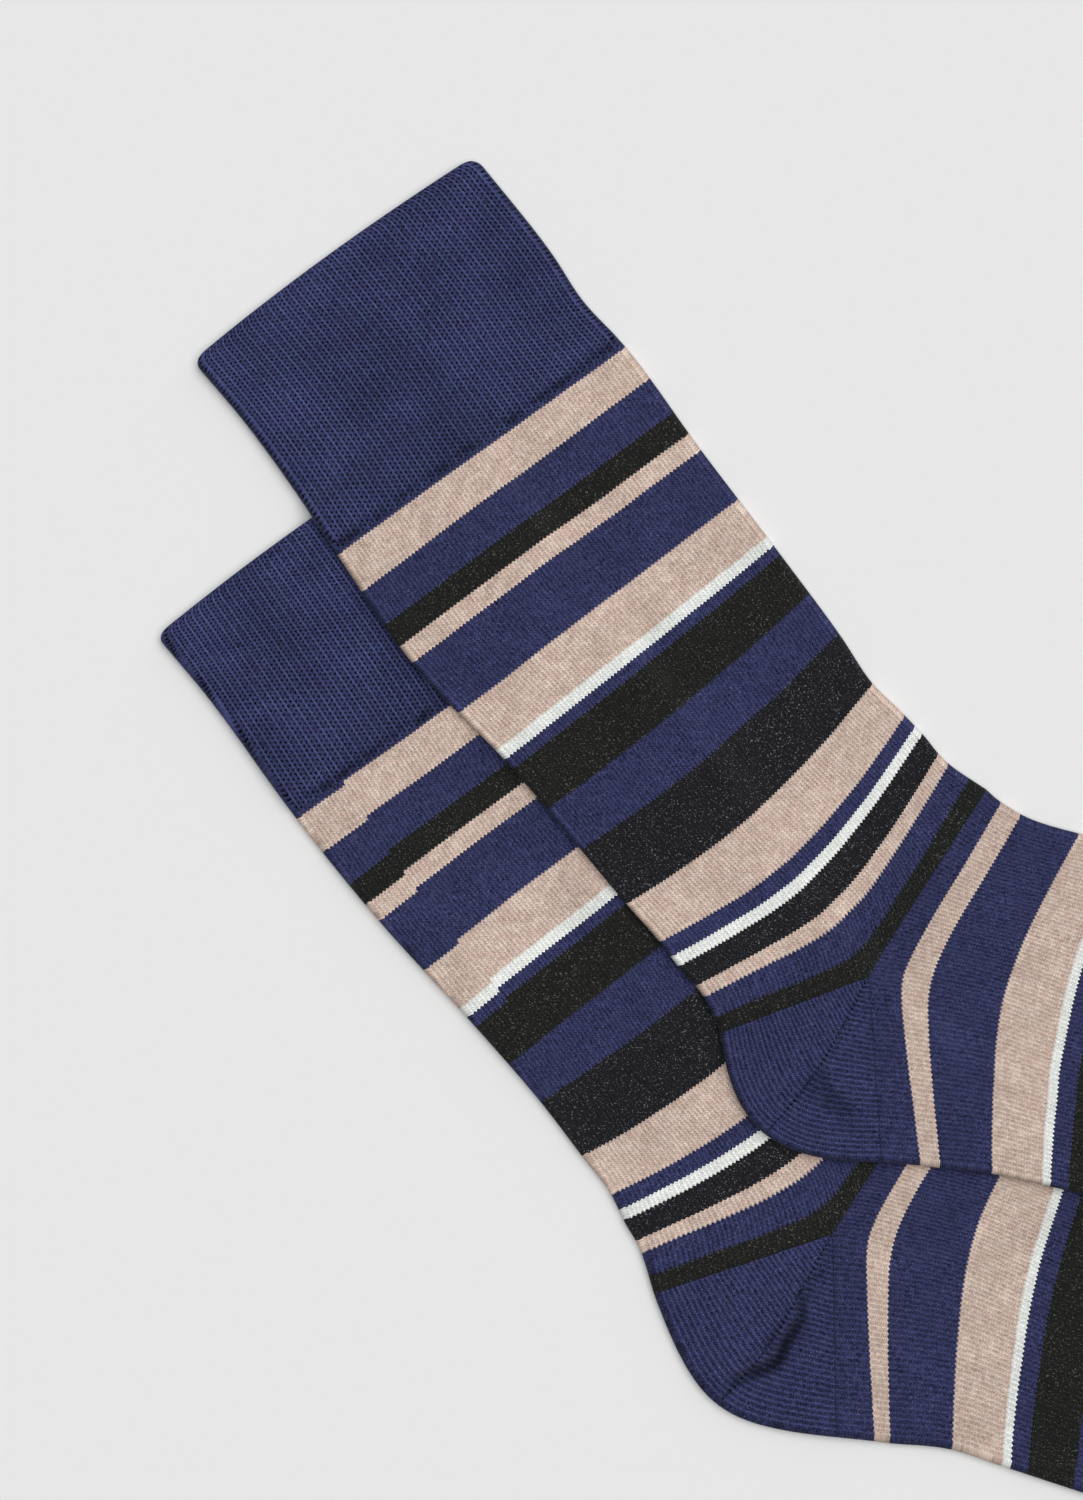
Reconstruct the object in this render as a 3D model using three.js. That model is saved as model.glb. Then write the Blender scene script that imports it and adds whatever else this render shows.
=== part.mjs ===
// A pair of fine-knit striped socks laid flat, the upper one lying partly on the lower one.
// Millimetres, +Z up, resting on z = 0, with the origin under the middle of the pair.
// Each sock is one flattened knitted tube in five pieces: rib cuff, leg, turned heel, foot and
// closed toe. The cloth is a thin wall, so a flat hollow runs from the open cuff to the toe.

import * as THREE from 'three';

// Cloth
const legThick = 3.0; // the tube pressed flat, both layers and the slit between them
const cuffThick = 3.8;
const wallShare = 0.4; // one layer's part of that thickness, 1.2 on the leg and 1.5 on the cuff
const cuffFade = 4; // length over which the cuff thins down to the leg
const seam = 0.3; // clear gap between one knitted piece and the next

// Lengths along the tube, from the cuff's mouth to the gore point and on to the toe
const cuffLength = 57.5;
const legLength = 206;
const footLength = 160;
const toeLength = 45;
const toeFullness = 2.4; // 2 is an ellipse, more is squarer
const toeTip = 0.99; // the toe and the hollow inside it end in a small blunt face, at these
const hollowTip = 0.9; // shares of the toe's length

// The gore point parts the half round into a back share, which turns the heel, and a front share
const goreShare = 0.43;

// Lay of the upper sock over the lower one
const layGap = 0.3;
const layReach = 14; // the upper cloth comes down to the surface this far outside the lower sock
const layMargin = 6; // and is at its full height this far outside it

// Facets
const legSteps = 14;
const cuffSteps = 5;
const footSteps = 12;
const toeSteps = 7;
const heelSteps = 8;
const heelRays = 6;
const heelStart = 0.02; // share of the way out at which the fan of the heel begins
const edgeAngles = [0, Math.PI / 4, Math.PI / 2];

// Each row is one knitted course on the upper layer, measured from the sock's own gore point.
// It runs from the back edge through the side line to the front edge, and soft says how gently
// it bends at the side line (0 is a corner). down is a length along the tube, from the cuff's
// mouth on the leg and from the gore point on the foot.
const upperSock = {
  name: 'upper_sock',
  gore: [-17.79, -24.73],
  acrossSteps: 12,
  leg: [
    { down: 0, back: [-165.1, 151.9], side: [-136, 174.6], front: [-96.3, 201.9], soft: 0.6 },
    { down: 28, back: [-149.3, 132.8], side: [-118, 152.5], front: [-77.2, 177.8], soft: 0.6 },
    { down: 42, back: [-140.1, 120], side: [-109.4, 140.4], front: [-69.9, 166.7], soft: 0.6 },
    { down: 57.5, back: [-130, 104.8], side: [-100.1, 126.7], front: [-60.1, 156.1], soft: 0.6 },
    { down: 91, back: [-110.6, 77], side: [-80.5, 99.6], front: [-40.5, 129.5], soft: 0.6 },
    { down: 123, back: [-87.3, 52.6], side: [-59, 74.9], front: [-22.1, 105.3], soft: 0.6 },
    { down: 150.5, back: [-69.6, 31.7], side: [-41.2, 52.1], front: [-6.7, 84.5], soft: 0.6 },
    { down: 167, back: [-59, 19], side: [-30.2, 38.9], front: [1.2, 72.8], soft: 0.55 },
    { down: 179.5, back: [-51.2, 10.1], side: [-20.6, 29.2], front: [8.8, 65.3], soft: 0.45 },
    { down: 186.5, back: [-46.8, 4.3], side: [-15.9, 23.8], front: [13, 60.9], soft: 0.35 },
    { down: 198, back: [-40.2, -3.7], side: [-5.9, 15.1], front: [20.1, 53], soft: 0.15 },
    { down: 206, back: [-36.3, -12], side: [-0.5, 1.5], front: [28.7, 47.2], soft: 0 },
  ],
  foot: [
    { down: 0, back: [2.7, -43.6], side: [-0.5, 1.5], front: [28.7, 47.2], soft: 0 },
    { down: 9, back: [12.2, -44.4], side: [7.6, 0], front: [32.2, 44.2], soft: 0.06 },
    { down: 15.5, back: [17, -45], side: [14.4, -1.5], front: [37, 41.2], soft: 0.1 },
    { down: 33, back: [29.7, -46.4], side: [32.4, -5.8], front: [51.4, 36.4], soft: 0.25 },
    { down: 47, back: [42.1, -49.1], side: [46.5, -10.8], front: [61.6, 34.2], soft: 0.5 },
    { down: 75, back: [71, -55.6], side: [76.5, -18.5], front: [90.5, 28], soft: 0.6 },
    { down: 160, back: [154.7, -74.1], side: [161.5, -37.7], front: [174.2, 10], soft: 0.6 },
  ],
  heel: { inner: [-21, -38.5], outer: [-44, -55.5], round: 0.7 },
};

const lowerSock = {
  name: 'lower_sock',
  gore: [-26.33, -87.66],
  acrossSteps: 6,
  leg: [
    { down: 0, back: [-165.5, 147.7], side: [-135.1, 170.9], front: [-94.5, 198.3], soft: 0.6 },
    { down: 28, back: [-151.3, 130.6], side: [-119, 151], front: [-77, 178], soft: 0.6 },
    { down: 57.5, back: [-132, 104], side: [-100.3, 126.5], front: [-60.5, 155.8], soft: 0.6 },
    { down: 91, back: [-110.6, 77.5], side: [-81, 100.3], front: [-40.5, 129.5], soft: 0.6 },
    { down: 123, back: [-88.3, 53], side: [-59, 76.4], front: [-22.1, 105.3], soft: 0.6 },
    { down: 150.5, back: [-70.8, 32.8], side: [-41.6, 53.5], front: [-7.1, 83.2], soft: 0.6 },
    { down: 167, back: [-61.2, 20.2], side: [-30.2, 39.8], front: [1.7, 72.2], soft: 0.55 },
    { down: 179.5, back: [-54.4, 11.3], side: [-21, 30.5], front: [9.2, 64.6], soft: 0.45 },
    { down: 186.5, back: [-51.4, 5.1], side: [-16.1, 24.8], front: [13.4, 60.2], soft: 0.35 },
    { down: 198, back: [-46.8, -3.5], side: [-6.3, 15.5], front: [20.6, 52.4], soft: 0.15 },
    { down: 206, back: [-43.9, -13], side: [-0.5, 1.5], front: [28.3, 46.8], soft: 0 },
  ],
  foot: [
    { down: 0, back: [0.4, -48.1], side: [-0.5, 1.5], front: [28.3, 46.8], soft: 0 },
    { down: 9, back: [9.8, -49.1], side: [8.1, 0], front: [32.7, 43.8], soft: 0.06 },
    { down: 15.5, back: [13.6, -49.6], side: [14, -1.5], front: [37.8, 40.9], soft: 0.1 },
    { down: 33, back: [28.8, -51.2], side: [32.5, -6.2], front: [50.3, 34.8], soft: 0.25 },
    { down: 47, back: [41.4, -55.3], side: [46.7, -12.2], front: [61.7, 30.3], soft: 0.5 },
    { down: 75, back: [68.4, -64.1], side: [75, -23.5], front: [88, 22], soft: 0.6 },
    { down: 160, back: [150.8, -87.2], side: [157.8, -47.2], front: [171.2, -1.8], soft: 0.6 },
  ],
  heel: { inner: [-24, -41], outer: [-34, -47.5], round: 0.31 },
};

// Finishes, one for each knitted piece
const finishes = {
  cuff: { color: 0x34376b, roughness: 0.95 },
  leg: { color: 0xc4b0a2, roughness: 0.92 },
  heel: { color: 0x34376b, roughness: 0.92 },
  foot: { color: 0x1f2130, roughness: 0.92 },
  toe: { color: 0x34376b, roughness: 0.92 },
};

const mix = (a, b, share) => a + (b - a) * share;

function ease(share) {
  const held = THREE.MathUtils.clamp(share, 0, 1);
  return held * held * (3 - 2 * held);
}

const evenly = (from, to, steps) => Array.from({ length: steps + 1 }, (_, i) => mix(from, to, i / steps));

// A value of the rows at any length down the tube, on a smooth curve through them
function between(rows, down, read) {
  const last = rows.length - 2;
  const found = rows.findIndex((row) => row.down > down);
  const i = found < 0 ? last : Math.min(Math.max(found - 1, 0), last);
  const slope = (k) => (read(rows[k + 1]) - read(rows[k])) / (rows[k + 1].down - rows[k].down);
  const tangent = (k) => {
    if (k === 0) return slope(0);
    if (k === rows.length - 1) return slope(k - 1);
    const before = rows[k].down - rows[k - 1].down;
    const after = rows[k + 1].down - rows[k].down;
    return (slope(k - 1) * after + slope(k) * before) / (before + after);
  };
  const span = rows[i + 1].down - rows[i].down;
  const t = (down - rows[i].down) / span;
  const start = read(rows[i]) * (2 * t ** 3 - 3 * t ** 2 + 1) + tangent(i) * span * (t ** 3 - 2 * t ** 2 + t);
  const end = read(rows[i + 1]) * (3 * t ** 2 - 2 * t ** 3) + tangent(i + 1) * span * (t ** 3 - t ** 2);
  return start + end;
}

// The course at a length down the tube
function courseAt(rows, down) {
  const point = (key) => new THREE.Vector2(
    between(rows, down, (row) => row[key][0]),
    between(rows, down, (row) => row[key][1]),
  );
  const soft = Math.max(between(rows, down, (row) => row.soft), 0);
  return { back: point('back'), side: point('side'), front: point('front'), soft };
}

// A point of a course: the straight line from back to front, drawn aside into a soft corner
// that passes through the side point
function coursePoint(course, share) {
  const root = (x) => Math.hypot(x - goreShare, course.soft);
  const chord = (x) => mix(root(0), root(1), x);
  const pull = (chord(share) - root(share)) / (chord(goreShare) - root(goreShare));
  const straight = course.back.clone().lerp(course.front, share);
  const aside = course.side.clone().sub(course.back.clone().lerp(course.front, goreShare));
  return straight.addScaledVector(aside, pull);
}

const courseWidth = (course) => (
  course.back.distanceTo(course.side) + course.side.distanceTo(course.front)
);

// The toe's courses are the foot's last one carried on, drawn in towards the middle of the toe
function toeCourse(sock, down) {
  const last = courseAt(sock.foot, footLength);
  const before = courseAt(sock.foot, footLength - toeLength);
  const middle = last.back.clone().lerp(last.front, 0.5);
  const onward = middle.clone().sub(before.back.clone().lerp(before.front, 0.5));
  const reach = THREE.MathUtils.clamp(down / toeLength, 0, 1);
  const width = Math.sqrt(1 - reach ** toeFullness);
  const centre = middle.clone().addScaledVector(onward, reach);
  const drawn = (point) => centre.clone().addScaledVector(point.clone().sub(middle), width);
  return { back: drawn(last.back), side: drawn(last.side), front: drawn(last.front), soft: last.soft };
}

// The heel is a fan from the gore point. turn goes from the leg's last course (0) to the foot's
// first (1), and ray is the share of the way out to the heel's rounded edge
function heelPoint(sock, ray, turn) {
  const leg = courseAt(sock.leg, legLength);
  const foot = courseAt(sock.foot, 0);
  const inner = new THREE.Vector2(...sock.heel.inner);
  const outer = new THREE.Vector2(...sock.heel.outer);
  const rounding = ray ** 4;
  const root = (x) => Math.hypot(x - 0.5, sock.heel.round * rounding);
  const middle = leg.back.clone().lerp(foot.back, 0.5);
  const pull = inner.clone().lerp(outer, rounding).sub(middle);
  const edge = leg.back.clone().lerp(foot.back, turn);
  edge.addScaledVector(pull, 2 * (root(0) - root(turn)));
  const toCorner = inner.sub(leg.side).normalize();
  return leg.side.addScaledVector(toCorner, seam).lerp(edge, ray);
}

const rimOf = (sock) => [
  ...evenly(0, legLength, 20).map((down) => courseAt(sock.leg, down).front),
  ...evenly(0, footLength, 12).map((down) => courseAt(sock.foot, down).front),
  ...evenly(0, toeLength, 10).map((down) => toeCourse(sock, down).front),
  ...evenly(toeLength, 0, 10).map((down) => toeCourse(sock, down).back),
  ...evenly(footLength, 0, 12).map((down) => courseAt(sock.foot, down).back),
  ...evenly(1, 0, 8).map((turn) => heelPoint(sock, 1, turn)),
  ...evenly(legLength, 0, 20).map((down) => courseAt(sock.leg, down).back),
].map((point) => point.clone().add(new THREE.Vector2(...sock.gore)));

// How far a point lies inside a closed outline, below zero outside it
function depthInside(outline, point) {
  let nearest = Infinity;
  let inside = false;
  outline.forEach((start, i) => {
    const end = outline[(i + 1) % outline.length];
    const along = end.clone().sub(start);
    const offset = point.clone().sub(start);
    const share = THREE.MathUtils.clamp(offset.dot(along) / Math.max(along.lengthSq(), 1e-9), 0, 1);
    nearest = Math.min(nearest, offset.distanceTo(along.clone().multiplyScalar(share)));
    const crosses = (start.y > point.y) !== (end.y > point.y);
    if (crosses && point.x < start.x + (along.x * (point.y - start.y)) / along.y) inside = !inside;
  });
  return inside ? nearest : -nearest;
}

// The upper sock rests on the surface, and comes up over the lower one where that lies under it
const lowerRim = rimOf(lowerSock);
function liftAt(sock, point) {
  if (sock === lowerSock) return 0;
  const place = point.clone().add(new THREE.Vector2(...sock.gore));
  const nearness = (depthInside(lowerRim, place) + layReach) / (layReach - layMargin);
  return (cuffThick + layGap) * ease(nearness);
}

function lay(sock, point, height) {
  return new THREE.Vector3(point.x, point.y, height + liftAt(sock, point));
}

// The flattened tube's profile from one folded edge to the other: across is a length from the
// edge, up is a height from the tube's middle. inset is the depth of the hollow in the wall,
// and nothing for the outside
function foldedEdge(thick, inset) {
  const radius = thick / 2 - inset;
  return edgeAngles.map((angle) => ({
    across: inset + radius * (1 - Math.cos(angle)),
    up: radius * Math.sin(angle),
  }));
}

// One loop round the tube on a course: over the upper layer from back to front, and back under it
function loop(sock, course, thick, isHollow) {
  const inset = isHollow ? wallShare * thick : 0;
  const width = courseWidth(course);
  const edge = foldedEdge(thick, inset).map(({ across, up }) => ({ share: across / width, up }));
  const plain = edge[edge.length - 1];
  const flat = evenly(plain.share, 1 - plain.share, sock.acrossSteps).slice(1, -1);
  const over = [
    ...edge,
    ...flat.map((share) => ({ share, up: plain.up })),
    ...edge.map(({ share, up }) => ({ share: 1 - share, up })).reverse(),
  ];
  const under = over.slice(1, -1).reverse().map(({ share, up }) => ({ share, up: -up }));
  return [...over, ...under].map(({ share, up }) => (
    lay(sock, coursePoint(course, share), thick / 2 + up)
  ));
}

// A closed body of cloth, gathered from loops of points
class Cloth {
  constructor() {
    this.points = [];
    this.faces = [];
  }

  add(points) {
    const first = this.points.length;
    this.points.push(...points);
    return points.map((_, i) => first + i);
  }

  // Faces between two closed loops of the same length
  band(a, b) {
    a.forEach((here, i) => {
      const next = (i + 1) % a.length;
      this.faces.push(here, b[next], a[next], here, b[i], b[next]);
    });
  }

  // A run of bands through loops, turned inside out for the hollow's side
  skin(loops, hollow = false) {
    loops.slice(1).forEach((next, i) => (hollow ? this.band(next, loops[i]) : this.band(loops[i], next)));
  }

  // A fan that closes a loop at its middle
  close(loop, hollow = false) {
    const middle = new THREE.Vector3();
    loop.forEach((i) => middle.addScaledVector(this.points[i], 1 / loop.length));
    const [tip] = this.add([middle]);
    loop.forEach((here, i) => {
      const next = loop[(i + 1) % loop.length];
      this.faces.push(...(hollow ? [here, next, tip] : [next, here, tip]));
    });
  }

  // The end face of a loop that goes out on one side of a wall and back on its other side
  end(loop, last = false) {
    const half = loop.length / 2;
    for (let i = 0; i < half - 1; i += 1) {
      const [a, b, c, d] = [loop[i], loop[i + 1], loop[loop.length - 2 - i], loop[loop.length - 1 - i]];
      this.faces.push(...(last ? [a, d, b, b, d, c] : [a, b, d, b, c, d]));
    }
  }

  geometry() {
    const geometry = new THREE.BufferGeometry().setFromPoints(this.points);
    geometry.setIndex(this.faces);
    geometry.computeVertexNormals();
    return geometry;
  }
}

// A stretch of open tube between two lengths
function tube(sock, rows, from, to, steps, thickAt = () => legThick) {
  const cloth = new Cloth();
  const loopsAt = (isHollow) => evenly(from, to, steps).map((down) => (
    cloth.add(loop(sock, courseAt(rows, down), thickAt(down), isHollow))
  ));
  const outside = loopsAt(false);
  const inside = loopsAt(true);
  cloth.skin(outside);
  cloth.skin(inside, true);
  cloth.band(inside[0], outside[0]);
  cloth.band(outside[steps], inside[steps]);
  return cloth.geometry();
}

function cuffThickness(down) {
  return mix(legThick, cuffThick, ease((cuffLength - down) / cuffFade));
}

function makeCuff(sock) {
  return tube(sock, sock.leg, 0, cuffLength - seam, cuffSteps, cuffThickness);
}

function makeLeg(sock) {
  return tube(sock, sock.leg, cuffLength, legLength, legSteps);
}

// It starts two seams down, because the courses lie closer together along the front than the sole
function makeFoot(sock) {
  return tube(sock, sock.foot, 2 * seam, footLength, footSteps);
}

// The toe is a tube that closes at its tip, outside and in the hollow
function makeToe(sock) {
  const cloth = new Cloth();
  const loopsTo = (tip, isHollow) => evenly(0, Math.PI / 2, toeSteps).map((angle) => {
    const down = mix(seam, toeLength * tip, Math.sin(angle));
    return cloth.add(loop(sock, toeCourse(sock, down), legThick, isHollow));
  });
  const outside = loopsTo(toeTip, false);
  const inside = loopsTo(hollowTip, true);
  cloth.skin(outside);
  cloth.skin(inside, true);
  cloth.band(inside[0], outside[0]);
  cloth.close(outside[toeSteps]);
  cloth.close(inside[toeSteps], true);
  return cloth.geometry();
}

// One section of the heel: inside the wall it goes out along the upper layer, round the folded
// edge and back along the lower layer, and outside the wall it comes the same way back
function heelSection(sock, turn) {
  const edgeLength = heelPoint(sock, 1, turn).distanceTo(courseAt(sock.leg, legLength).side);
  const side = (inset) => {
    const edge = foldedEdge(legThick, inset).map(({ across, up }) => ({ ray: 1 - across / edgeLength, up }));
    const plain = edge[edge.length - 1];
    const flat = evenly(heelStart, plain.ray, heelRays).slice(0, -1).map((ray) => ({ ray, up: plain.up }));
    const over = [...flat, ...edge.reverse()];
    const under = over.slice(0, -1).reverse().map(({ ray, up }) => ({ ray, up: -up }));
    return [...over, ...under].map(({ ray, up }) => lay(sock, heelPoint(sock, ray, turn), legThick / 2 + up));
  };
  return [...side(wallShare * legThick), ...side(0).reverse()];
}

function makeHeel(sock) {
  const cloth = new Cloth();
  const reach = heelPoint(sock, 1, 0).distanceTo(heelPoint(sock, 1, 1));
  const margin = seam / reach;
  const sections = evenly(margin, 1 - margin, heelSteps).map((turn) => cloth.add(heelSection(sock, turn)));
  cloth.skin(sections);
  cloth.end(sections[0]);
  cloth.end(sections[heelSteps], true);
  return cloth.geometry();
}

const makers = { cuff: makeCuff, leg: makeLeg, heel: makeHeel, foot: makeFoot, toe: makeToe };

function makeSock(sock) {
  const group = new THREE.Group();
  group.position.set(sock.gore[0], sock.gore[1], 0);
  Object.entries(makers).forEach(([piece, make]) => {
    const material = new THREE.MeshStandardMaterial({ ...finishes[piece], metalness: 0 });
    const mesh = new THREE.Mesh(make(sock), material);
    mesh.name = `${sock.name}_${piece}`;
    group.add(mesh);
  });
  return group;
}

const pair = new THREE.Group();
pair.add(makeSock(lowerSock), makeSock(upperSock));

export default pair;
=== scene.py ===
import bmesh
import bpy
import numpy as np
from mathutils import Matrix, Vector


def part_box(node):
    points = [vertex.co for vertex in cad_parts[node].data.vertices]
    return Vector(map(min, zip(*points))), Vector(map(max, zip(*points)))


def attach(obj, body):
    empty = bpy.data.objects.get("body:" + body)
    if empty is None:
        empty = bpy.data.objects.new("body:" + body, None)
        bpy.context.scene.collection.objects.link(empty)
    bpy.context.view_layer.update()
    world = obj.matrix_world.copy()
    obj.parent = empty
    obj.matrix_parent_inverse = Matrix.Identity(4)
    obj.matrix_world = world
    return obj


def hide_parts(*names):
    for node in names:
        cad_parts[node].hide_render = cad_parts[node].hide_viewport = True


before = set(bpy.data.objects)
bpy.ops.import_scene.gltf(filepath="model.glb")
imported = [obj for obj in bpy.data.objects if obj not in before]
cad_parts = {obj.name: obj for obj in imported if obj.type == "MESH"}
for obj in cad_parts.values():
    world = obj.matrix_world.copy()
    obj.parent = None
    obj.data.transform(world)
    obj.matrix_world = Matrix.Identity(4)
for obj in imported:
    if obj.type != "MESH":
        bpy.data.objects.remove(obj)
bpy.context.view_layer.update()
print("frame loaded:", len(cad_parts), "nodes")

mm = 0.001
tiny = 1e-9  # stands in for nought where a division would fail

# Where the stretches end, in mm: the cuff and the leg from the mouth, the foot from the gore point
cuffEnd = 57.5
legEnd = 206
footEnd = 160

# The cloth, in mm: each sock is one tube of 168 wales, pressed flat
cloth = {
    "wales": 168,
    "course": 0.72,  # length of tube knitted by one course
    "legThick": 3.0,  # both layers and the slit between them
    "cuffThick": 3.7,
    "wallShare": 0.38,  # one layer's part of that thickness
    "goreShare": 0.43,  # back share of a half round, which turns the heel
    "foldSteps": 6,  # grid steps round a quarter of the folded edge
    "flatSteps": 84,  # grid steps across the flat part
}

# Courses on the upper layer of each sock, in mm from its gore point: length down the tube, back
# edge, side line, front edge, and how softly the course bends at the side line
upperSock = {
    "name": "upper",
    "leg": [
        (0, -165.1, 151.9, -136, 174.6, -96.3, 201.9, 0.6),
        (28, -149.3, 132.8, -118, 152.5, -77.2, 177.8, 0.6),
        (42, -140.1, 120, -109.4, 140.4, -69.9, 166.7, 0.6),
        (57.5, -130, 104.8, -100.1, 126.7, -60.1, 156.1, 0.6),
        (91, -110.6, 77, -80.5, 99.6, -40.5, 129.5, 0.6),
        (123, -87.3, 52.6, -59, 74.9, -22.1, 105.3, 0.6),
        (150.5, -69.6, 31.7, -41.2, 52.1, -6.7, 84.5, 0.6),
        (167, -59, 19, -30.2, 38.9, 1.2, 72.8, 0.55),
        (179.5, -51.2, 10.1, -20.6, 29.2, 8.8, 65.3, 0.45),
        (186.5, -46.8, 4.3, -15.9, 23.8, 13, 60.9, 0.35),
        (198, -40.2, -3.7, -5.9, 15.1, 20.1, 53, 0.15),
        (206, -36.3, -12, -0.5, 1.5, 28.7, 47.2, 0),
    ],
    "foot": [
        (0, 2.7, -43.6, -0.5, 1.5, 28.7, 47.2, 0),
        (9, 12.2, -44.4, 7.6, 0, 32.2, 44.2, 0.06),
        (15.5, 17, -45, 14.4, -1.5, 37, 41.2, 0.1),
        (33, 29.7, -46.4, 32.4, -5.8, 51.4, 36.4, 0.25),
        (47, 42.1, -49.1, 46.5, -10.8, 61.6, 34.2, 0.5),
        (75, 71, -55.6, 76.5, -18.5, 90.5, 28, 0.6),
        (160, 154.7, -74.1, 161.5, -37.7, 174.2, 10, 0.6),
    ],
    "heelInner": (-21, -38.5),  # where the heel's corner would be, near the gore and at the edge
    "heelOuter": (-44, -55.5),
    "heelRound": 0.7,
    "waleSlant": 0.0,  # wales that the cloth is turned by in each mm down the leg
    "startWale": 122.0,  # the wale where each course starts, on the hidden side
    "waveStart": 0.0,  # what is added to the start of each slow wave, in radians
}
lowerSock = {
    "name": "lower",
    "leg": [
        (0, -165.5, 147.7, -135.1, 170.9, -94.5, 198.3, 0.6),
        (28, -151.3, 130.6, -119, 151, -77, 178, 0.6),
        (57.5, -132, 104, -100.3, 126.5, -60.5, 155.8, 0.6),
        (91, -110.6, 77.5, -81, 100.3, -40.5, 129.5, 0.6),
        (123, -88.3, 53, -59, 76.4, -22.1, 105.3, 0.6),
        (150.5, -70.8, 32.8, -41.6, 53.5, -7.1, 83.2, 0.6),
        (167, -61.2, 20.2, -30.2, 39.8, 1.7, 72.2, 0.55),
        (179.5, -54.4, 11.3, -21, 30.5, 9.2, 64.6, 0.45),
        (186.5, -51.4, 5.1, -16.1, 24.8, 13.4, 60.2, 0.35),
        (198, -46.8, -3.5, -6.3, 15.5, 20.6, 52.4, 0.15),
        (206, -43.9, -13, -0.5, 1.5, 28.3, 46.8, 0),
    ],
    "foot": [
        (0, 0.4, -48.1, -0.5, 1.5, 28.3, 46.8, 0),
        (9, 9.8, -49.1, 8.1, 0, 32.7, 43.8, 0.06),
        (15.5, 13.6, -49.6, 14, -1.5, 37.8, 40.9, 0.1),
        (33, 28.8, -51.2, 32.5, -6.2, 50.3, 34.8, 0.25),
        (47, 41.4, -55.3, 46.7, -12.2, 61.7, 30.3, 0.5),
        (75, 68.4, -64.1, 75, -23.5, 88, 22, 0.6),
        (160, 150.8, -87.2, 157.8, -47.2, 171.2, -1.8, 0.6),
    ],
    "heelInner": (-24, -41),
    "heelOuter": (-34, -47.5),
    "heelRound": 0.31,
    "waleSlant": 0.06,
    "startWale": 13.5,
    "waveStart": 2.2,
}

# Creases, in mm from the gore point: the layer, the line that each follows, its depth,
# its half width, and the height of the lip on its left side and how far off the lip's top is
upperSock["creases"] = [
    ("over", [(-13, -21), (-10, -27), (-4, -33.5)], 0.9, 1.1, 0.6, 3.0),
    ("over", [(-1, -2), (-8, -13), (-16, -28)], 0.35, 0.7, 0.25, 1.6),
    ("over", [(-31, -14), (-22, -6), (-12, -1)], 0.3, 2.2, 0.1, 5.0),
    ("over", [(4, 5), (14, 18), (22, 32)], 0.25, 3.2, 0.0, 5.0),
    ("over", [(-121, 139), (-108, 144), (-96, 152)], 0.35, 2.4, 0.25, 5.0),
    ("over", [(-135, 147), (-120, 158), (-101, 172)], 0.3, 2.8, 0.2, 6.0),
    ("over", [(-118, 88), (-104, 97), (-92, 109)], 0.25, 3.5, 0.1, 6.0),
    ("over", [(-52, 98), (-40, 106), (-30, 118)], 0.25, 4.0, 0.1, 7.0),
    ("under", [(-2, -2), (-9, -15), (-18, -30)], 0.5, 1.4, 0.0, 3.0),
    ("under", [(6, 6), (15, 20), (24, 34)], 0.4, 3.0, 0.0, 5.0),
    ("under", [(-120, 92), (-100, 103), (-84, 116)], 0.35, 3.4, 0.0, 5.0),
]
lowerSock["creases"] = [
    ("over", [(-26, -35), (-22, -32.8), (-14.6, -29.6), (-11.9, -24.4), (-8.4, -18.8), (-8.6, -14)],
     2.5, 0.8, 1.9, 2.3),
    ("over", [(-9, -17), (-5.5, -10.5), (-1, -3)], 0.6, 0.7, 0.4, 1.6),
    ("over", [(-40, -12), (-30, -8), (-19, -4)], 0.3, 2.2, 0.1, 5.0),
    ("over", [(4, -22), (14, -30), (22, -41)], 0.25, 3.4, 0.1, 6.0),
    ("over", [(-152, 142), (-140, 146), (-128, 154)], 0.35, 2.6, 0.25, 5.0),
    ("over", [(-133, 112), (-118, 118), (-104, 129)], 0.3, 3.2, 0.1, 6.0),
    ("under", [(-3, -8), (-12, -22), (-26, -37)], 0.7, 1.6, 0.0, 3.0),
    ("under", [(-95, 66), (-78, 78), (-60, 86)], 0.35, 3.2, 0.0, 5.0),
    ("under", [(60, -50), (72, -38), (78, -24)], 0.35, 2.8, 0.0, 5.0),
]


# A share of the way from a to b
def mix(a, b, share):
    return a + (b - a) * share


# A soft step from 0 to 1, level at both ends: three squares less two cubes
def ease(share):
    held = np.clip(share, 0, 1)
    return held * held * (3 - 2 * held)


# A bell curve, 1 at its middle: e to the power of minus x squared
def bell(x):
    return np.exp(-(x**2))


# Height of a quarter circle, from 0 to 1, at a share of the way along its radius
def quarterRound(share):
    return np.sqrt(1 - np.clip(1 - share, 0, 1) ** 2)


# A smooth cubic through the rows: the slope at a row is the mean of the slopes of its two spans,
# each weighted by the other's length
def alongRows(rows, down):
    table = np.array(rows, float)
    knot, value = table[:, 0], table[:, 1:]
    span = np.diff(knot)[:, None]
    slope = np.diff(value, axis=0) / span
    inner = (slope[:-1] * span[1:] + slope[1:] * span[:-1]) / (span[:-1] + span[1:])
    tangent = np.concatenate([slope[:1], inner, slope[-1:]])
    i = np.clip(np.searchsorted(knot, down, side="right") - 1, 0, len(span) - 1)
    h = span[i]
    t = ((down - knot[i]) / h[:, 0])[:, None]
    start = value[i] * (2 * t**3 - 3 * t**2 + 1) + tangent[i] * h * (t**3 - 2 * t**2 + t)
    return start + value[i + 1] * (3 * t**2 - 2 * t**3) + tangent[i + 1] * h * (t**3 - t**2)


# The courses at some lengths: their three points, and how softly they bend at the side line
def coursesAt(rows, down):
    value = alongRows(rows, np.asarray(down, float))
    return {
        "back": value[:, 0:2],
        "side": value[:, 2:4],
        "front": value[:, 4:6],
        "soft": np.maximum(value[:, 6:7], 0),
    }


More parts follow.
